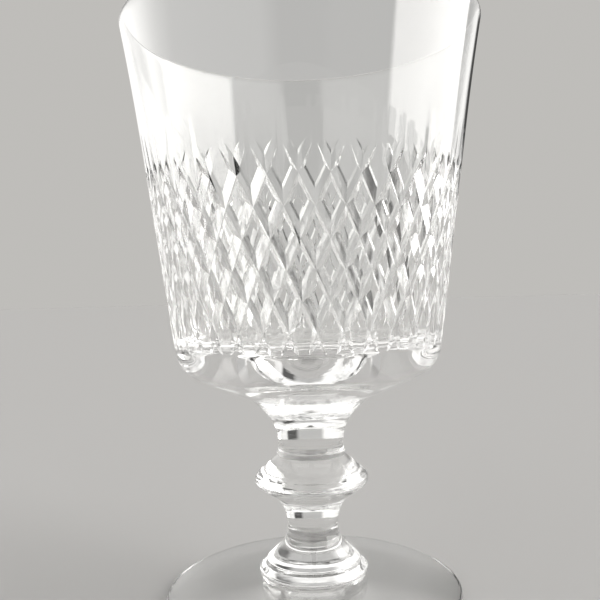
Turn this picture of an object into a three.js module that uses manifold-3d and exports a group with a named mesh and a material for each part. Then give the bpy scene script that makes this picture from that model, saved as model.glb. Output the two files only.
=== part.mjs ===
// A wine glass of clear cut glass: a tapered bowl with a band of crossing grooves, a short stem
// with a ring knop, and a wide foot. Millimetres; it stands on z = 0 with its axis on +Z.
// Its pieces are the gathers of hot glass that were fused one on the other at flat seams.

import * as THREE from "three";
import { mergeVertices } from "three/addons/utils/BufferGeometryUtils.js";
import Module from "manifold-3d";

// Foot: a shallow cone with a round edge, hollow underneath, standing on a flat ring.
const footDiameter = 67.5;
const footHeight = 4.5;
const footEdgeThickness = 1.8;
const footEdgeRounding = 0.7;
const footUnderBevel = 0.7;
const footRingWidth = 3;
const footHollowDepth = 1.5;

// Base merese: the low button between the foot and the stem.
const baseMereseFootDiameter = 24;
const baseMereseDiameter = 25.6;
const baseMereseHeight = 3;
const baseMereseEdgeHeight = 1.8;
const baseMereseRounding = 1;

// Bell stem: a round-shouldered bell under a straight neck that widens again to the knop.
const bellDiameter = 22.3;
const bellShoulderDiameter = 21.4;
const bellShoulderHeight = 0.9;
const bellShoulderRounding = 1.5;
const bellHeight = 5.5;
const bellFillet = 6;
const lowerNeckDiameter = 11.7;
const lowerNeckLength = 3.2;
const lowerFlareSlope = 45;

// Ring knop: two cones that meet in a round edge.
const knopBottomDiameter = 16.8;
const knopTopDiameter = 15.7;
const knopHeight = 9.8;
const knopCornerDiameter = 28.4;
const knopCornerHeight = 4.2;
const knopRounding = 1.75;

// Throat: a fine bead on the knop, then a neck that widens to the upper merese.
const beadDiameter = 16;
const beadHeight = 1.9;
const beadRounding = 0.7;
const upperNeckDiameter = 15.1;
const upperNeckLength = 0.6;
const upperFlareSlope = 45;

// Bowl merese: the flared button that carries the bowl.
const bowlMereseFootDiameter = 21.6;
const bowlMereseDiameter = 27.8;
const bowlMereseHeight = 2.9;

// Bowl: a straight tapered wall, a lip turned out a little, and a thick base with a round corner.
const bowlHeight = 84.9;
const rimDiameter = 82;
const lipThickness = 1.4;
const lipRounding = 0.6;
const lipTurnOut = 0.5;
const lipTurnLength = 24;
const baseCornerDiameter = 59.7;
const baseCornerHeight = 6.9;
const baseCornerRounding = 8;
const wallThicknessAtFloor = 2.4;

// Inner bottom: a flat well, a shoulder round it and a round edge where the wall begins.
const floorThickness = 9.8;
const wellDiameter = 28.6;
const wellDepth = 2.8;
const wellCornerRounding = 1.7;
const shoulderDiameter = 36.8;
const shoulderRise = 0.6;
const shoulderRounding = 9;
const floorEdgeRounding = 2.8;

// Cut band: V grooves climb the wall both ways and cross in a net of upright diamonds.
const groovesEachWay = 36;
const crossingRows = 6;
const rowPitch = 6.04;
const lowestCrossingHeight = 16.1;
const runOutBelow = 0.65;
const runOutAbove = 0.84;
const grooveWidth = 2.2;
const grooveDepth = 0.75;
const netTurn = 3.3;
const cutterOverhang = 0.5;

// How finely the round shapes are stepped.
const footSides = 72;
const stemSides = 40;
const arcSteps = 4;
const flareSteps = 5;
const lipSteps = 3;

const wasm = await Module();
wasm.setup();

const clearGlass = new THREE.MeshStandardMaterial({
  color: 0xf1f3f0,
  roughness: 0.03,
  metalness: 0,
  transparent: true,
  opacity: 0.35,
});

const rad = THREE.MathUtils.degToRad;

// Corners are [radius, height, rounding]; a rounding becomes an arc that touches both sides.
function rounded(corners) {
  return corners.flatMap(([r, h, rounding], i) => {
    const here = new THREE.Vector2(r, h);
    if (!rounding) {
      return [here];
    }
    const back = new THREE.Vector2(...corners[i - 1].slice(0, 2)).sub(here).normalize();
    const on = new THREE.Vector2(...corners[i + 1].slice(0, 2)).sub(here).normalize();
    const half = Math.acos(back.dot(on)) / 2;
    const middle = back.clone().add(on).normalize();
    const centre = here.clone().addScaledVector(middle, rounding / Math.sin(half));
    const start = here.clone().addScaledVector(back, rounding / Math.tan(half));
    const turn = Math.sign(on.cross(back)) * (Math.PI - 2 * half);
    return Array.from({ length: arcSteps + 1 }, (_, k) =>
      start.clone().rotateAround(centre, (turn * k) / arcSteps));
  });
}

// A flare leaves its neck straight up and turns outward to a slope, so that both widths and the
// slope set its radius.
function flareRadius(neckDiameter, endDiameter, slope) {
  return (endDiameter - neckDiameter) / 2 / (1 - Math.cos(rad(slope)));
}

function flareHeight(neckDiameter, endDiameter, slope) {
  return flareRadius(neckDiameter, endDiameter, slope) * Math.sin(rad(slope));
}

function flare(neckDiameter, endDiameter, slope, startHeight) {
  const radius = flareRadius(neckDiameter, endDiameter, slope);
  return Array.from({ length: flareSteps + 1 }, (_, k) => {
    const angle = (rad(slope) * k) / flareSteps;
    return new THREE.Vector2(
      neckDiameter / 2 + radius * (1 - Math.cos(angle)),
      startHeight + radius * Math.sin(angle),
    );
  });
}

// Shapes are turned round Y, and stood up on Z as they become a piece at its own height.
function piece(name, geometry, height) {
  const mesh = new THREE.Mesh(geometry.rotateX(Math.PI / 2), clearGlass.clone());
  mesh.name = name;
  mesh.position.z = height;
  return mesh;
}

function makeFoot() {
  const edge = footDiameter / 2;
  const ringOutside = edge - footUnderBevel;
  const merese = baseMereseFootDiameter / 2;
  return new THREE.LatheGeometry(rounded([
    [0, footHollowDepth],
    [merese, footHollowDepth],
    [ringOutside - footRingWidth, 0],
    [ringOutside, 0],
    [edge, footUnderBevel],
    [edge, footEdgeThickness, footEdgeRounding],
    [merese, footHeight],
    [0, footHeight],
  ]), footSides);
}

function makeBaseMerese() {
  return new THREE.LatheGeometry(rounded([
    [0, 0],
    [baseMereseFootDiameter / 2, 0],
    [baseMereseDiameter / 2, baseMereseEdgeHeight, baseMereseRounding],
    [bellDiameter / 2, baseMereseHeight],
    [0, baseMereseHeight],
  ]), stemSides);
}

const lowerFlareStart = bellHeight + lowerNeckLength;
const bellStemHeight = lowerFlareStart
  + flareHeight(lowerNeckDiameter, knopBottomDiameter, lowerFlareSlope);

function makeBellStem() {
  return new THREE.LatheGeometry([
    ...rounded([
      [0, 0],
      [bellDiameter / 2, 0],
      [bellShoulderDiameter / 2, bellShoulderHeight, bellShoulderRounding],
      [lowerNeckDiameter / 2, bellHeight, bellFillet],
      [lowerNeckDiameter / 2, lowerFlareStart],
    ]).slice(0, -1),
    ...flare(lowerNeckDiameter, knopBottomDiameter, lowerFlareSlope, lowerFlareStart),
    new THREE.Vector2(0, bellStemHeight),
  ], stemSides);
}

function makeRingKnop() {
  return new THREE.LatheGeometry(rounded([
    [0, 0],
    [knopBottomDiameter / 2, 0],
    [knopCornerDiameter / 2, knopCornerHeight, knopRounding],
    [knopTopDiameter / 2, knopHeight],
    [0, knopHeight],
  ]), stemSides);
}

const upperFlareStart = beadHeight + upperNeckLength;
const throatHeight = upperFlareStart
  + flareHeight(upperNeckDiameter, bowlMereseFootDiameter, upperFlareSlope);

function makeThroat() {
  return new THREE.LatheGeometry([
    ...rounded([
      [0, 0],
      [knopTopDiameter / 2, 0],
      [beadDiameter / 2, beadHeight / 2, beadRounding],
      [upperNeckDiameter / 2, beadHeight],
    ]),
    ...flare(upperNeckDiameter, bowlMereseFootDiameter, upperFlareSlope, upperFlareStart),
    new THREE.Vector2(0, throatHeight),
  ], stemSides);
}

function makeBowlMerese() {
  return new THREE.LatheGeometry(rounded([
    [0, 0],
    [bowlMereseFootDiameter / 2, 0],
    [bowlMereseDiameter / 2, bowlMereseHeight],
    [0, bowlMereseHeight],
  ]), stemSides);
}

// The outside of the wall: a straight taper, and near the rim the lip's turn added to it.
function wallRadius(height) {
  const taper = (height - baseCornerHeight) / (bowlHeight - baseCornerHeight);
  const straight = THREE.MathUtils.lerp(baseCornerDiameter, rimDiameter - 2 * lipTurnOut, taper) / 2;
  const lip = Math.max(0, 1 - (bowlHeight - height) / lipTurnLength);
  return straight + lipTurnOut * lip ** 2;
}

const shoulderHeight = floorThickness + wellDepth;
const floorEdgeHeight = shoulderHeight + shoulderRise;

// The wall thins evenly from the edge of the floor to the lip.
function boreRadius(height) {
  const rise = (height - floorEdgeHeight) / (bowlHeight - floorEdgeHeight);
  return wallRadius(height) - THREE.MathUtils.lerp(wallThicknessAtFloor, lipThickness, rise);
}

function makeBlank() {
  const lipHeights = Array.from({ length: lipSteps }, (_, k) =>
    bowlHeight - lipTurnLength * (1 - k / lipSteps));
  return new THREE.LatheGeometry(rounded([
    [0, 0],
    [bowlMereseDiameter / 2, 0],
    [baseCornerDiameter / 2, baseCornerHeight, baseCornerRounding],
    ...lipHeights.map((h) => [wallRadius(h), h]),
    [rimDiameter / 2, bowlHeight, lipRounding],
    [rimDiameter / 2 - lipThickness, bowlHeight, lipRounding],
    ...lipHeights.toReversed().map((h) => [boreRadius(h), h]),
    [boreRadius(floorEdgeHeight), floorEdgeHeight, floorEdgeRounding],
    [shoulderDiameter / 2, shoulderHeight, shoulderRounding],
    [wellDiameter / 2, floorThickness, wellCornerRounding],
    [0, floorThickness],
  ]), 2 * groovesEachWay, rad(netTurn));
}

// A groove rises one row of crossings for each half diamond that it goes round the wall. Its
// section is a V whose floor comes up to the surface at both ends, so that it ends in a point.
function makeGrooveCutter(startColumn, lean) {
  const topRow = crossingRows - 1;
  const rows = Array.from({ length: crossingRows }, (_, k) => k);
  const path = [-runOutBelow, ...rows, topRow + runOutAbove];
  const column = Math.PI / groovesEachWay;
  const middle = wallRadius(lowestCrossingHeight + (topRow / 2) * rowPitch);
  const steepness = Math.hypot(1, rowPitch / (column * middle));
  const halfHeightPerDepth = (grooveWidth / 2 / grooveDepth) * steepness;

  const corners = path.flatMap((row) => {
    const height = lowestCrossingHeight + row * rowPitch;
    const theta = rad(netTurn) + (startColumn + lean * row) * column;
    const depth = row < 0 || row > topRow ? 0 : grooveDepth;
    const halfHeight = (depth + cutterOverhang) * halfHeightPerDepth;
    const outside = wallRadius(height) + cutterOverhang;
    return [
      new THREE.Vector3().setFromCylindricalCoords(wallRadius(height) - depth, theta, height),
      new THREE.Vector3().setFromCylindricalCoords(outside, theta, height - halfHeight),
      new THREE.Vector3().setFromCylindricalCoords(outside, theta, height + halfHeight),
    ];
  });

  const faces = [];
  for (let section = 0; section < path.length - 1; section++) {
    for (let side = 0; side < 3; side++) {
      const a = 3 * section + side;
      const b = 3 * section + ((side + 1) % 3);
      faces.push([a, b, b + 3], [a, b + 3, a + 3]);
    }
  }
  const last = corners.length - 3;
  faces.push([0, 2, 1], [last, last + 1, last + 2]);
  return new wasm.Manifold(new wasm.Mesh({
    numProp: 3,
    vertProperties: new Float32Array(corners.flatMap((corner) => corner.toArray())),
    triVerts: new Uint32Array(faces.flatMap((face) => (lean > 0 ? face.toReversed() : face))),
  }));
}

function toSolid(geometry) {
  const bare = geometry.clone();
  bare.deleteAttribute("normal");
  bare.deleteAttribute("uv");
  const merged = mergeVertices(bare);
  return new wasm.Manifold(new wasm.Mesh({
    numProp: 3,
    vertProperties: new Float32Array(merged.attributes.position.array),
    triVerts: new Uint32Array(merged.index.array),
  }));
}

function toGeometry(solid) {
  const { vertProperties, triVerts } = solid.getMesh();
  const geometry = new THREE.BufferGeometry();
  geometry.setAttribute("position", new THREE.BufferAttribute(vertProperties, 3));
  geometry.setIndex(new THREE.BufferAttribute(triVerts, 1));
  geometry.computeVertexNormals();
  return geometry;
}

function makeBowl() {
  let bowl = toSolid(makeBlank());
  for (const lean of [1, -1]) {
    for (let groove = 0; groove < groovesEachWay; groove++) {
      bowl = bowl.subtract(makeGrooveCutter(2 * groove, lean));
    }
  }
  return toGeometry(bowl);
}

const gathers = [
  ["foot", makeFoot, footHeight],
  ["base_merese", makeBaseMerese, baseMereseHeight],
  ["bell_stem", makeBellStem, bellStemHeight],
  ["ring_knop", makeRingKnop, knopHeight],
  ["throat", makeThroat, throatHeight],
  ["bowl_merese", makeBowlMerese, bowlMereseHeight],
  ["bowl", makeBowl, bowlHeight],
];

const glass = new THREE.Group();
let seamHeight = 0;
for (const [name, make, height] of gathers) {
  glass.add(piece(name, make(), seamHeight));
  seamHeight += height;
}

export default glass;
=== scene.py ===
import math

import bmesh
import bpy
from mathutils import Matrix, Vector


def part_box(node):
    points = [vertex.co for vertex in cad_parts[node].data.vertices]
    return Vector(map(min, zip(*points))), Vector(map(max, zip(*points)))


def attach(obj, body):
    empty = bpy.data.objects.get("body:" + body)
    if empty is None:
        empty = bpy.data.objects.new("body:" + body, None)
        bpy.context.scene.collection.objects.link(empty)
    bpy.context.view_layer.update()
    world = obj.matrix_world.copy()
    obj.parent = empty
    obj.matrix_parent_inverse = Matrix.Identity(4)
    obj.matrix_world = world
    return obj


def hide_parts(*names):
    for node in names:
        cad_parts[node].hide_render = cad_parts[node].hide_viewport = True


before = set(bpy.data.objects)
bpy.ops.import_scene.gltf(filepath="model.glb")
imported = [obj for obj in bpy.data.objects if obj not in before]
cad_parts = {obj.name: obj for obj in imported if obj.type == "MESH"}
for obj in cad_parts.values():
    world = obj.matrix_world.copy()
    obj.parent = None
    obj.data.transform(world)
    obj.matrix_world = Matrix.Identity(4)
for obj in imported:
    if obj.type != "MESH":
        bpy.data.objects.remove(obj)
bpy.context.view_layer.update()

# A cut-glass wine glass. Lengths in the settings are millimetres, angles are degrees.
mm = 0.001

# How finely round shapes are stepped, and where shading turns sharp.
arcStep = 6
leastArcSteps = 3
flareSteps = 14
turnSteps = 192
sharpAngle = 30
weldDistance = 0.0005

# A face this level and this near a seam height is a seam.
seamNearness = 0.002
seamLevelness = 0.999

print("frame loaded:", ", ".join(sorted(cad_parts)))


def deselectAll():
    if bpy.context.mode != "OBJECT":
        bpy.ops.object.mode_set(mode="OBJECT")
    bpy.ops.object.select_all(action="DESELECT")


def activate(piece):
    deselectAll()
    piece.select_set(True)
    bpy.context.view_layer.objects.active = piece


def bottomOf(node):
    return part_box(node)[0].z / mm


def topOf(node):
    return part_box(node)[1].z / mm


# Corners are (radius, height, rounding); a rounding becomes an arc that touches both sides.
def roundedProfile(corners):
    points = []
    for i, corner in enumerate(corners):
        here = Vector((corner[0], corner[1]))
        rounding = corner[2] if len(corner) > 2 else 0
        if not rounding:
            points.append(here)
            continue
        back = (Vector(corners[i - 1][:2]) - here).normalized()
        on = (Vector(corners[i + 1][:2]) - here).normalized()
        half = back.angle(on) / 2
        centre = here + (back + on).normalized() * rounding / math.sin(half)
        start = here + back * rounding / math.tan(half) - centre
        turn = math.copysign(math.pi - 2 * half, on.cross(back))
        steps = max(leastArcSteps, math.ceil(math.degrees(abs(turn)) / arcStep))
        points += [centre + Matrix.Rotation(turn * k / steps, 2) @ start for k in range(steps + 1)]
    return points


# A flare leaves its neck straight up and turns outward until it reaches the slope.
def flareProfile(neckRadius, endRadius, slope, startHeight, endHeight):
    across = endRadius - neckRadius
    points = []
    for k in range(flareSteps + 1):
        angle = math.radians(slope) * k / flareSteps
        out = (1 - math.cos(angle)) / (1 - math.cos(math.radians(slope)))
        up = math.sin(angle) / math.sin(math.radians(slope))
        points.append(Vector((neckRadius + across * out, startHeight + (endHeight - startHeight) * up)))
    return points


# The profile is drawn as a chain of vertices in the XZ plane and spun round Z.
def turnPiece(name, points, steps=turnSteps):
    deselectAll()
    bpy.ops.mesh.primitive_plane_add(size=mm)
    piece = bpy.context.object
    piece.name = name
    piece.data.name = name
    places = [Vector((p.x * mm, 0, p.y * mm)) for p in points]
    bpy.ops.object.mode_set(mode="EDIT")
    bpy.ops.mesh.merge(type="CENTER")
    bpy.ops.transform.translate(value=places[0])
    for before, after in zip(places, places[1:]):
        bpy.ops.mesh.extrude_region_move(TRANSFORM_OT_translate={"value": after - before})
    bpy.ops.mesh.select_all(action="SELECT")
    bpy.ops.mesh.spin(steps=steps, angle=2 * math.pi, center=(0, 0, 0), axis=(0, 0, 1))
    bpy.ops.mesh.select_all(action="SELECT")
    bpy.ops.mesh.remove_doubles(threshold=weldDistance * mm)
    bpy.ops.mesh.normals_make_consistent(inside=False)
    bpy.ops.object.mode_set(mode="OBJECT")
    return piece


# Flat faces at these heights are where hot glass was fused to the next gather.
def markSeams(piece, heights):
    piece.data.materials.append(fusedSeam)
    seamSlot = len(piece.data.materials) - 1
    for face in piece.data.polygons:
        atSeam = any(abs(face.center.z - h * mm) < seamNearness * mm for h in heights)
        if atSeam and abs(face.normal.z) > seamLevelness:
            face.material_index = seamSlot


def smoothByAngle(piece, angle):
    activate(piece)
    bpy.ops.object.shade_smooth_by_angle(angle=math.radians(angle))


def finishPiece(piece, node):
    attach(piece, "root")
    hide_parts(node)
    print(piece.name, "made:", len(piece.data.polygons), "faces")


# Foot and stem are finished alike; the bowl isn't, because it is cut in between.
def finishTurned(piece, node, glass, seamHeights):
    piece.data.materials.append(glass)
    markSeams(piece, seamHeights)
    smoothByAngle(piece, sharpAngle)
    finishPiece(piece, node)


# What all the glass shares: how its waves, tool rings and wiped film are patterned.
patternLook = {
    "waveStretch": 0.45,
    "waveDetail": 1.5,
    "ringDetail": 3,
    "ringRoughness": 0.6,
    "filmDetail": 4,
    "filmRoughness": 0.55,
    "filmDistortion": 0.6,
    "filmStart": 0.5,
    "filmFull": 0.72,
}


def newSockets(tree, inputs, output):
    for name in inputs:
        tree.interface.new_socket(name=name, in_out="INPUT", socket_type="NodeSocketFloat")
    tree.interface.new_socket(name=output, in_out="OUTPUT", socket_type="NodeSocketFloat")


# Blown and tooled glass is never quite even: this gives its slow waves and the turning lines.
def makeWaveGroup():
    tree = bpy.data.node_groups.new("slowWaves", "ShaderNodeTree")
    newSockets(tree, ["Wave Scale", "Ring Scale", "Ring Share"], "Height")
    nodes, links = tree.nodes, tree.links
    given, out = nodes.new("NodeGroupInput"), nodes.new("NodeGroupOutput")
    place = nodes.new("ShaderNodeTexCoord")
    stretch = nodes.new("ShaderNodeMapping")
    stretch.inputs["Scale"].default_value = (1, 1, patternLook["waveStretch"])
    waves = nodes.new("ShaderNodeTexNoise")
    waves.inputs["Detail"].default_value = patternLook["waveDetail"]
    split = nodes.new("ShaderNodeSeparateXYZ")
    rings = nodes.new("ShaderNodeTexNoise")
    rings.noise_dimensions = "1D"
    rings.inputs["Detail"].default_value = patternLook["ringDetail"]
    rings.inputs["Roughness"].default_value = patternLook["ringRoughness"]
    blend = nodes.new("ShaderNodeMix")
    links.new(place.outputs["Object"], stretch.inputs["Vector"])
    links.new(stretch.outputs["Vector"], waves.inputs["Vector"])
    links.new(given.outputs["Wave Scale"], waves.inputs["Scale"])
    links.new(place.outputs["Object"], split.inputs["Vector"])
    links.new(split.outputs["Z"], rings.inputs["W"])
    links.new(given.outputs["Ring Scale"], rings.inputs["Scale"])
    links.new(given.outputs["Ring Share"], blend.inputs["Factor"])
    links.new(waves.outputs["Fac"], blend.inputs[2])
    links.new(rings.outputs["Fac"], blend.inputs[3])
    links.new(blend.outputs[0], out.inputs["Height"])
    return tree


# Wiped glass keeps a faint uneven film, which only shows in the gloss.
def makeFilmGroup():
    tree = bpy.data.node_groups.new("wipedFilm", "ShaderNodeTree")
    newSockets(tree, ["Clean", "Filmed", "Scale"], "Roughness")
    nodes, links = tree.nodes, tree.links
    given, out = nodes.new("NodeGroupInput"), nodes.new("NodeGroupOutput")
    place = nodes.new("ShaderNodeTexCoord")
    film = nodes.new("ShaderNodeTexNoise")
    film.inputs["Detail"].default_value = patternLook["filmDetail"]
    film.inputs["Roughness"].default_value = patternLook["filmRoughness"]
    film.inputs["Distortion"].default_value = patternLook["filmDistortion"]
    patches = nodes.new("ShaderNodeMapRange")
    patches.interpolation_type = "SMOOTHSTEP"
    patches.inputs["From Min"].default_value = patternLook["filmStart"]
    patches.inputs["From Max"].default_value = patternLook["filmFull"]
    links.new(place.outputs["Object"], film.inputs["Vector"])
    links.new(given.outputs["Scale"], film.inputs["Scale"])
    links.new(film.outputs["Fac"], patches.inputs["Value"])
    links.new(given.outputs["Clean"], patches.inputs["To Min"])
    links.new(given.outputs["Filmed"], patches.inputs["To Max"])
    links.new(patches.outputs["Result"], out.inputs["Roughness"])
    return tree


waveGroup = makeWaveGroup()
filmGroup = makeFilmGroup()


def newMaterial(name):
    material = bpy.data.materials.new(name)
    material.use_nodes = True
    nodes = material.node_tree.nodes
    nodes.clear()
    shader = nodes.new("ShaderNodeBsdfPrincipled")
    output = nodes.new("ShaderNodeOutputMaterial")
    material.node_tree.links.new(shader.outputs["BSDF"], output.inputs["Surface"])
    return material, shader


def makeGlass(name, look):
    material, shader = newMaterial(name)
    nodes, links = material.node_tree.nodes, material.node_tree.links
    shader.inputs["Base Color"].default_value = (*look["colour"], 1)
    shader.inputs["IOR"].default_value = look["ior"]
    shader.inputs["Transmission Weight"].default_value = 1
    film = nodes.new("ShaderNodeGroup")
    film.node_tree = filmGroup
    film.inputs["Clean"].default_value = look["clean"]
    film.inputs["Filmed"].default_value = look["filmed"]
    film.inputs["Scale"].default_value = look["filmScale"]
    links.new(film.outputs["Roughness"], shader.inputs["Roughness"])
    waves = nodes.new("ShaderNodeGroup")
    waves.node_tree = waveGroup
    waves.inputs["Wave Scale"].default_value = look["waveScale"]
    waves.inputs["Ring Scale"].default_value = look["ringScale"]
    waves.inputs["Ring Share"].default_value = look["ringShare"]
    bump = nodes.new("ShaderNodeBump")
    bump.inputs["Strength"].default_value = 1
    bump.inputs["Distance"].default_value = look["waveHeight"] * mm
    links.new(waves.outputs["Height"], bump.inputs["Height"])
    links.new(bump.outputs["Normal"], shader.inputs["Normal"])
    return material


# Where two gathers are fused there is no surface left to see.
def makeFusedSeam():
    material, shader = newMaterial("fusedSeam")
    shader.inputs["Alpha"].default_value = 0
    return material


glassLook = {
    "colour": (0.99, 0.992, 0.988),
    "ior": 1.53,
    "clean": 0.0,
    "filmed": 0.02,
    "filmScale": 110,
    "waveScale": 55,
    "waveHeight": 0.05,
    "ringScale": 700,
    "ringShare": 0.0,
}
bowlGlass = makeGlass("bowlGlass", glassLook)
stemGlass = makeGlass("stemGlass", {**glassLook, "ringShare": 0.5, "waveHeight": 0.04})
footGlass = makeGlass("footGlass", {**glassLook, "filmed": 0.05})
grooveGlass = makeGlass("grooveGlass", {
    **glassLook,
    "clean": 0.12,
    "filmed": 0.2,
    "filmScale": 500,
    "waveScale": 400,
    "waveHeight": 0.02,
})
fusedSeam = makeFusedSeam()
print("materials made")


# The foot is a round disc that thickens to the middle and stands on a ring.
footShape = {
    "diameter": 67.5,
    "edgeThickness": 1.8,
    "edgeRounding": 0.7,
    "underBevel": 0.7,
    "ringWidth": 3.0,
    "underEdgeRounding": 0.3,
    "hollowDepth": 1.5,
    "hollowRounding": 20.0,
    "seamDiameter": 24.0,
}


def makeFoot():
    low, high = bottomOf("foot"), topOf("foot")
    edge = footShape["diameter"] / 2
    ringOutside = edge - footShape["underBevel"]
    seam = footShape["seamDiameter"] / 2
    foot = turnPiece("foot_disc", roundedProfile([
        (0, low + footShape["hollowDepth"]),
        (seam, low + footShape["hollowDepth"], footShape["hollowRounding"]),
        (ringOutside - footShape["ringWidth"], low),
        (ringOutside, low),
        (edge, low + footShape["underBevel"], footShape["underEdgeRounding"]),
        (edge, low + footShape["edgeThickness"], footShape["edgeRounding"]),
        (seam, high),
        (0, high),
    ]))
    finishTurned(foot, "foot", footGlass, [high])


# A merese is a button of glass; this low one sits between the foot and the stem.
baseMereseShape = {
    "diameter": 25.6,
    "edgeHeight": 1.8,
    "rounding": 1.0,
    "footDiameter": 24.0,
    "topDiameter": 22.3,
}


def makeBaseMerese():
    low, high = bottomOf("base_merese"), topOf("base_merese")
    merese = turnPiece("base_button", roundedProfile([
        (0, low),
        (baseMereseShape["footDiameter"] / 2, low),
        (baseMereseShape["diameter"] / 2, low + baseMereseShape["edgeHeight"],
         baseMereseShape["rounding"]),
        (baseMereseShape["topDiameter"] / 2, high),
        (0, high),
    ]))
    finishTurned(merese, "base_merese", stemGlass, [low, high])


# The stem starts as a bell, thins to a neck and flares up to the knop.
bellStemShape = {
    "bellDiameter": 22.3,
    "shoulderDiameter": 21.4,
    "shoulderHeight": 0.9,
    "shoulderRounding": 1.5,
    "bellHeight": 5.5,
    "bellFillet": 6.0,
    "neckDiameter": 11.7,
    "neckLength": 3.2,
    "topDiameter": 16.8,
    "flareSlope": 45,
}


def makeBellStem():
    low, high = bottomOf("bell_stem"), topOf("bell_stem")
    neck = bellStemShape["neckDiameter"] / 2
    flareStart = low + bellStemShape["bellHeight"] + bellStemShape["neckLength"]
    bell = roundedProfile([
        (0, low),
        (bellStemShape["bellDiameter"] / 2, low),
        (bellStemShape["shoulderDiameter"] / 2, low + bellStemShape["shoulderHeight"],
         bellStemShape["shoulderRounding"]),
        (neck, low + bellStemShape["bellHeight"], bellStemShape["bellFillet"]),
        (neck, flareStart),
    ])
    flare = flareProfile(neck, bellStemShape["topDiameter"] / 2, bellStemShape["flareSlope"],
                         flareStart, high)
    stem = turnPiece("bell_stem_glass", bell[:-1] + flare + [Vector((0, high))])
    finishTurned(stem, "bell_stem", stemGlass, [low, high])


# The knop is a wide ring with a rounded corner below its middle.
ringKnopShape = {
    "bottomDiameter": 16.8,
    "topDiameter": 15.7,
    "cornerDiameter": 28.4,
    "cornerHeight": 4.2,
    "rounding": 1.75,
}


def makeRingKnop():
    low, high = bottomOf("ring_knop"), topOf("ring_knop")
    knop = turnPiece("ring_knop_glass", roundedProfile([
        (0, low),
        (ringKnopShape["bottomDiameter"] / 2, low),
        (ringKnopShape["cornerDiameter"] / 2, low + ringKnopShape["cornerHeight"],
         ringKnopShape["rounding"]),
        (ringKnopShape["topDiameter"] / 2, high),
        (0, high),
    ]))
    finishTurned(knop, "ring_knop", stemGlass, [low, high])


# The throat stands on the knop with a fine bead and flares up to the bowl.
throatShape = {
    "bottomDiameter": 15.7,
    "beadDiameter": 16.0,
    "beadHeight": 1.9,
    "beadRounding": 0.7,
    "neckDiameter": 15.1,
    "neckLength": 0.6,
    "topDiameter": 21.6,
    "flareSlope": 45,
}


def makeThroat():
    low, high = bottomOf("throat"), topOf("throat")
    neck = throatShape["neckDiameter"] / 2
    beadTop = low + throatShape["beadHeight"]
    bead = roundedProfile([
        (0, low),
        (throatShape["bottomDiameter"] / 2, low),
        (throatShape["beadDiameter"] / 2, low + throatShape["beadHeight"] / 2,
         throatShape["beadRounding"]),
        (neck, beadTop),
    ])
    flare = flareProfile(neck, throatShape["topDiameter"] / 2, throatShape["flareSlope"],
                         beadTop + throatShape["neckLength"], high)
    throat = turnPiece("throat_glass", bead + flare + [Vector((0, high))])
    finishTurned(throat, "throat", stemGlass, [low, high])


# This merese carries the bowl.
bowlMereseShape = {
    "bottomDiameter": 21.6,
    "topDiameter": 27.8,
}


def makeBowlMerese():
    low, high = bottomOf("bowl_merese"), topOf("bowl_merese")
    merese = turnPiece("bowl_button", roundedProfile([
        (0, low),
        (bowlMereseShape["bottomDiameter"] / 2, low),
        (bowlMereseShape["topDiameter"] / 2, high),
        (0, high),
    ]))
    finishTurned(merese, "bowl_merese", stemGlass, [low, high])


# The bowl is a tapered bucket with a thick bottom and a lip that turns out a little.
bowlShape = {
    "rimDiameter": 82.0,
    "lipThickness": 1.4,
    "lipRounding": 0.6,
    "lipTurnOut": 0.5,
    "lipTurnLength": 24.0,
    "lipSteps": 10,
    "baseCornerDiameter": 59.7,
    "baseCornerHeight": 6.9,
    "baseCornerRounding": 8.0,
    "seamDiameter": 27.8,
    "wallThicknessAtFloor": 2.4,
    "floorThickness": 9.8,
    "wellDiameter": 28.6,
    "wellDepth": 2.8,
    "wellCornerRounding": 1.7,
    "shoulderDiameter": 36.8,
    "shoulderRounding": 9.0,
    "shoulderRise": 0.6,
    "floorEdgeRounding": 2.8,
    "turnSteps": 288,
    "sharpAngle": 25,
}

# Two sets of grooves climb the wall opposite ways and cross in a net of upright diamonds.
netShape = {
    "groovesEachWay": 36,
    "crossingRows": 6,
    "rowPitch": 6.04,
    "lowestCrossing": 16.1,
    "runOutBelow": 0.65,
    "runOutAbove": 0.84,
    "grooveWidth": 2.2,
    "grooveDepth": 0.75,
    "turn": 3.3,
    "stepsPerRow": 2,
    "runOutSteps": 5,
    "overhang": 0.4,
}


def wallRadius(height, bowlHeight):
    rise = (height - bowlShape["baseCornerHeight"]) / (bowlHeight - bowlShape["baseCornerHeight"])
    low = bowlShape["baseCornerDiameter"] / 2
    high = bowlShape["rimDiameter"] / 2 - bowlShape["lipTurnOut"]
    lip = max(0, 1 - (bowlHeight - height) / bowlShape["lipTurnLength"])
    return low + (high - low) * rise + bowlShape["lipTurnOut"] * lip ** 2


# The inner bottom is a flat well, a shoulder round it and a round edge where the wall begins.
def floorHeights():
    well = bowlShape["floorThickness"]
    shoulder = well + bowlShape["wellDepth"]
    return well, shoulder, shoulder + bowlShape["shoulderRise"]


def boreRadius(height, bowlHeight):
    start = floorHeights()[2]
    rise = (height - start) / (bowlHeight - start)
    thick, thin = bowlShape["wallThicknessAtFloor"], bowlShape["lipThickness"]
    return wallRadius(height, bowlHeight) - thick - (thin - thick) * rise


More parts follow.
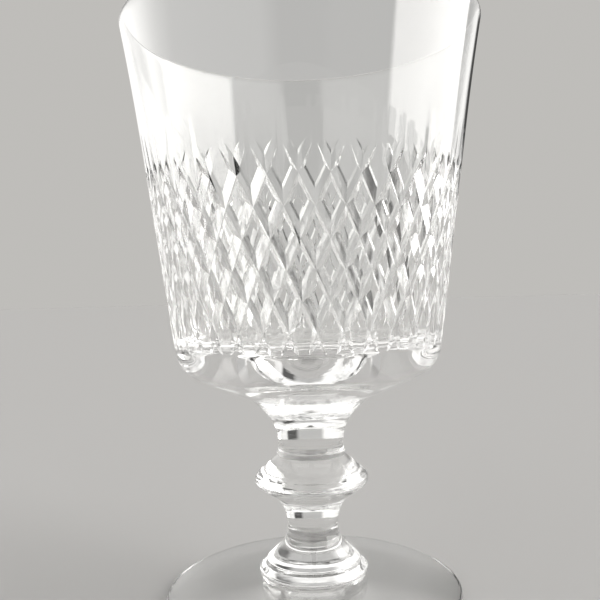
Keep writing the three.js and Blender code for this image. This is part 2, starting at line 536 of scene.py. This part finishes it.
def makeBowlBlank(low, high):
    tall = high - low
    lipSteps = bowlShape["lipSteps"]
    lipHeights = [tall - bowlShape["lipTurnLength"] * (1 - k / lipSteps) for k in range(lipSteps)]
    outside = [(wallRadius(h, tall), h) for h in lipHeights]
    inside = [(boreRadius(h, tall), h) for h in reversed(lipHeights)]
    rim = bowlShape["rimDiameter"] / 2
    well, shoulder, edge = floorHeights()
    corners = [
        (0, 0),
        (bowlShape["seamDiameter"] / 2, 0),
        (bowlShape["baseCornerDiameter"] / 2, bowlShape["baseCornerHeight"],
         bowlShape["baseCornerRounding"]),
        *outside,
        (rim, tall, bowlShape["lipRounding"]),
        (rim - bowlShape["lipThickness"], tall, bowlShape["lipRounding"]),
        *inside,
        (boreRadius(edge, tall), edge, bowlShape["floorEdgeRounding"]),
        (bowlShape["shoulderDiameter"] / 2, shoulder, bowlShape["shoulderRounding"]),
        (bowlShape["wellDiameter"] / 2, well, bowlShape["wellCornerRounding"]),
        (0, well),
    ]
    points = [Vector((p.x, p.y + low)) for p in roundedProfile(corners)]
    return turnPiece("cut_bowl", points, bowlShape["turnSteps"])


# The wheel's V comes up to the surface along a curve at each end of a groove.
def grooveStations():
    top = netShape["crossingRows"] - 1
    steps, perRow, deep = netShape["runOutSteps"], netShape["stepsPerRow"], netShape["grooveDepth"]
    stations = []
    for k in range(steps):
        share = 1 - k / steps
        stations.append((-netShape["runOutBelow"] * share, deep * (1 - share ** 2)))
    stations += [(k / perRow, deep) for k in range(top * perRow + 1)]
    for k in range(steps):
        share = (k + 1) / steps
        stations.append((top + netShape["runOutAbove"] * share, deep * (1 - share ** 2)))
    return stations


def makeGrooveCutter(low, tall, lean):
    column = math.pi / netShape["groovesEachWay"]
    middle = netShape["lowestCrossing"] + (netShape["crossingRows"] - 1) / 2 * netShape["rowPitch"]
    steepness = math.hypot(1, netShape["rowPitch"] / (column * wallRadius(middle, tall)))
    halfHeightPerDepth = netShape["grooveWidth"] / 2 / netShape["grooveDepth"] * steepness
    deselectAll()
    bpy.ops.mesh.primitive_circle_add(vertices=3, radius=mm, fill_type="NGON")
    cutter = bpy.context.object
    cutter.name = "grooveCutter"
    bpy.ops.object.mode_set(mode="EDIT")
    for k, (row, depth) in enumerate(grooveStations()):
        if k:
            bpy.ops.mesh.extrude_region_move()
        height = netShape["lowestCrossing"] + row * netShape["rowPitch"]
        theta = math.radians(netShape["turn"]) + lean * row * column
        radius = wallRadius(height, tall)
        half = (depth + netShape["overhang"]) * halfHeightPerDepth
        places = [
            (radius - depth, height),
            (radius + netShape["overhang"], height - half),
            (radius + netShape["overhang"], height + half),
        ]
        body = bmesh.from_edit_mesh(cutter.data)
        corners = sorted((v for v in body.verts if v.select), key=lambda v: v.index)
        for corner, (r, h) in zip(corners, places):
            corner.co = Vector((r * math.sin(theta), -r * math.cos(theta), h + low)) * mm
        bmesh.update_edit_mesh(cutter.data)
    bpy.ops.mesh.select_all(action="SELECT")
    bpy.ops.mesh.normals_make_consistent(inside=False)
    bpy.ops.object.mode_set(mode="OBJECT")
    cutter.data.materials.append(grooveGlass)
    return cutter


def cutOneWay(bowl, low, tall, lean):
    first = makeGrooveCutter(low, tall, lean)
    count = netShape["groovesEachWay"]
    copies = [first]
    for k in range(1, count):
        other = first.copy()
        other.data = first.data.copy()
        other.data.transform(Matrix.Rotation(2 * math.pi * k / count, 4, "Z"))
        bpy.context.collection.objects.link(other)
        copies.append(other)
    deselectAll()
    for cutter in copies:
        cutter.select_set(True)
    bpy.context.view_layer.objects.active = first
    bpy.ops.object.join()
    activate(bowl)
    cut = bowl.modifiers.new("grooves", "BOOLEAN")
    cut.operation = "DIFFERENCE"
    cut.solver = "EXACT"
    cut.material_mode = "TRANSFER"
    cut.object = first
    bpy.ops.object.modifier_apply(modifier=cut.name)
    bpy.data.objects.remove(first, do_unlink=True)


def makeBowl():
    low, high = bottomOf("bowl"), topOf("bowl")
    bowl = makeBowlBlank(low, high)
    bowl.data.materials.append(bowlGlass)
    markSeams(bowl, [low])
    for lean in (1, -1):
        cutOneWay(bowl, low, high - low, lean)
    smoothByAngle(bowl, bowlShape["sharpAngle"])
    finishPiece(bowl, "bowl")


makeFoot()
makeBaseMerese()
makeBellStem()
makeRingKnop()
makeThroat()
makeBowlMerese()
makeBowl()


# The pale table and what the camera sees behind it.
stageLook = {
    "floorColour": (0.52, 0.515, 0.51),
    "backColour": (0.52, 0.51, 0.49),
    "floorSize": 12000,
    "floorDrop": 0.05,
}

# Azimuth is 0 behind the camera, positive to the right and 180 behind the glass. A wall stop is
# (azimuth, brightness); the steps beside 180 make the cut facets stand out from the clear glass.
roomLook = {
    "colour": (1.0, 0.99, 0.97),
    "walls": [
        (-180, 0.52), (-168, 0.52), (-163, 1.1), (-112, 1.1), (-24, 0.8), (-12, 0.08), (12, 0.08),
        (20, 0.22), (120, 0.22), (125, 1.0), (146, 1.0), (150, 0.06), (162, 0.06), (167, 0.52),
        (180, 0.52),
    ],
    "ceilingStart": 23,
    "ceilingFull": 30,
    "ceiling": 1.3,
    "frontHalfWidth": 12,
    "frontSoftness": 8,
    "frontShade": 0.1,
    "floorShare": 0.535,
}

windowLook = {
    "azimuth": 92,
    "halfWidth": 33,
    "low": -12,
    "high": 44,
    "softness": 1.5,
    "strength": 3.8,
    "colour": (1.0, 0.985, 0.96),
}

cameraPlace = {
    "distance": 166.0,
    "height": 69.3,
    "roll": 1.492,
    "focalPixels": 712.7,
    "imagePixels": 600,
    "axisPixel": 307.0,
    "horizonPixel": 293.5,
    "sensorWidth": 36,
    "nearClip": 10,
    "farClip": 20000,
}

# Light crosses many glass surfaces on its way to the camera.
lightBounces = {
    "all": 32,
    "transmission": 32,
    "glossy": 16,
    "transparent": 32,
}


def makeFloor():
    deselectAll()
    bpy.ops.mesh.primitive_plane_add(size=stageLook["floorSize"] * mm,
                                     location=(0, 0, -stageLook["floorDrop"] * mm))
    floor = bpy.context.object
    floor.name = "table_top"
    material, shader = newMaterial("paleTable")
    shader.inputs["Base Color"].default_value = (*stageLook["floorColour"], 1)
    shader.inputs["Roughness"].default_value = 1
    shader.inputs["Specular IOR Level"].default_value = 0
    floor.data.materials.append(material)


def makeWorld():
    world = bpy.data.worlds.new("studio")
    bpy.context.scene.world = world
    world.use_nodes = True
    nodes, links = world.node_tree.nodes, world.node_tree.links
    nodes.clear()
    output = nodes.new("ShaderNodeOutputWorld")
    place = nodes.new("ShaderNodeTexCoord")
    split = nodes.new("ShaderNodeSeparateXYZ")
    links.new(place.outputs["Generated"], split.inputs["Vector"])

    def calc(operation, *values):
        node = nodes.new("ShaderNodeMath")
        node.operation = operation
        for socket, value in zip(node.inputs, values):
            if isinstance(value, (int, float)):
                socket.default_value = value
            else:
                links.new(value, socket)
        return node.outputs[0]

    def ramp(value, low, high, lowValue=0.0, highValue=1.0):
        node = nodes.new("ShaderNodeMapRange")
        node.interpolation_type = "SMOOTHSTEP"
        links.new(value, node.inputs["Value"])
        limits = {"From Min": low, "From Max": high, "To Min": lowValue, "To Max": highValue}
        for name, number in limits.items():
            node.inputs[name].default_value = number
        return node.outputs["Result"]

    flipped = calc("MULTIPLY", split.outputs["Y"], -1)
    azimuth = calc("DEGREES", calc("ARCTAN2", split.outputs["X"], flipped))
    elevation = calc("DEGREES", calc("ARCSINE", split.outputs["Z"]))

    walls = nodes.new("ShaderNodeValToRGB")
    links.new(calc("MULTIPLY_ADD", azimuth, 1 / 360, 0.5), walls.inputs["Fac"])
    stops = walls.color_ramp.elements
    while len(stops) < len(roomLook["walls"]):
        stops.new(0.5)
    # Stops change places as they move, so they are coloured once all stand where they belong.
    for stop, (angle, bright) in zip(stops, roomLook["walls"]):
        stop.position = angle / 360 + 0.5
    for stop, (angle, bright) in zip(stops, roomLook["walls"]):
        stop.color = (bright, bright, bright, 1)
    overhead = ramp(elevation, roomLook["ceilingStart"], roomLook["ceilingFull"])
    wallShare = calc("MULTIPLY", walls.outputs["Color"], calc("SUBTRACT", 1, overhead))
    front = ramp(calc("ABSOLUTE", azimuth), roomLook["frontHalfWidth"],
                 roomLook["frontHalfWidth"] + roomLook["frontSoftness"], roomLook["frontShade"])
    ceiling = calc("MULTIPLY", calc("MULTIPLY", overhead, front), roomLook["ceiling"])
    room = calc("ADD", wallShare, ceiling)
    path = nodes.new("ShaderNodeLightPath")
    dimmed = calc("MULTIPLY", path.outputs["Is Diffuse Ray"], 1 - roomLook["floorShare"])
    lamp = calc("SUBTRACT", 1, dimmed)

    soft = windowLook["softness"]
    sideways = calc("ABSOLUTE", calc("SUBTRACT", azimuth, windowLook["azimuth"]))
    inside = ramp(sideways, windowLook["halfWidth"] - soft, windowLook["halfWidth"] + soft, 1, 0)
    over = ramp(elevation, windowLook["low"] - soft, windowLook["low"] + soft)
    under = ramp(elevation, windowLook["high"] - soft, windowLook["high"] + soft, 1, 0)
    mask = calc("MULTIPLY", calc("MULTIPLY", inside, over), under)

    roomLight = nodes.new("ShaderNodeBackground")
    roomLight.inputs["Color"].default_value = (*roomLook["colour"], 1)
    links.new(calc("MULTIPLY", room, lamp), roomLight.inputs["Strength"])
    windowLight = nodes.new("ShaderNodeBackground")
    windowLight.inputs["Color"].default_value = (*windowLook["colour"], 1)
    glow = calc("MULTIPLY", mask, windowLook["strength"])
    links.new(calc("MULTIPLY", glow, lamp), windowLight.inputs["Strength"])
    lit = nodes.new("ShaderNodeAddShader")
    links.new(roomLight.outputs[0], lit.inputs[0])
    links.new(windowLight.outputs[0], lit.inputs[1])
    plain = nodes.new("ShaderNodeBackground")
    plain.inputs["Color"].default_value = (*stageLook["backColour"], 1)
    mix = nodes.new("ShaderNodeMixShader")
    links.new(path.outputs["Is Camera Ray"], mix.inputs[0])
    links.new(lit.outputs[0], mix.inputs[1])
    links.new(plain.outputs[0], mix.inputs[2])
    links.new(mix.outputs[0], output.inputs["Surface"])


def makeCamera():
    cameraData = bpy.data.cameras.new("camera")
    camera = bpy.data.objects.new("camera", cameraData)
    bpy.context.collection.objects.link(camera)
    size = cameraPlace["imagePixels"]
    cameraData.sensor_width = cameraPlace["sensorWidth"]
    cameraData.lens = cameraPlace["sensorWidth"] * cameraPlace["focalPixels"] / size
    cameraData.shift_x = (size / 2 - cameraPlace["axisPixel"]) / size
    cameraData.shift_y = (cameraPlace["horizonPixel"] - size / 2) / size
    cameraData.clip_start = cameraPlace["nearClip"] * mm
    cameraData.clip_end = cameraPlace["farClip"] * mm
    camera.location = (0, -cameraPlace["distance"] * mm, cameraPlace["height"] * mm)
    level = Matrix.Rotation(math.radians(90), 4, "X")
    roll = Matrix.Rotation(math.radians(-cameraPlace["roll"]), 4, "Z")
    camera.rotation_euler = (level @ roll).to_euler()
    bpy.context.scene.camera = camera


makeFloor()
makeWorld()
makeCamera()
scene = bpy.context.scene
scene.view_settings.view_transform = "Standard"
scene.cycles.max_bounces = lightBounces["all"]
scene.cycles.transmission_bounces = lightBounces["transmission"]
scene.cycles.glossy_bounces = lightBounces["glossy"]
scene.cycles.transparent_max_bounces = lightBounces["transparent"]
print("stage, light and camera made")
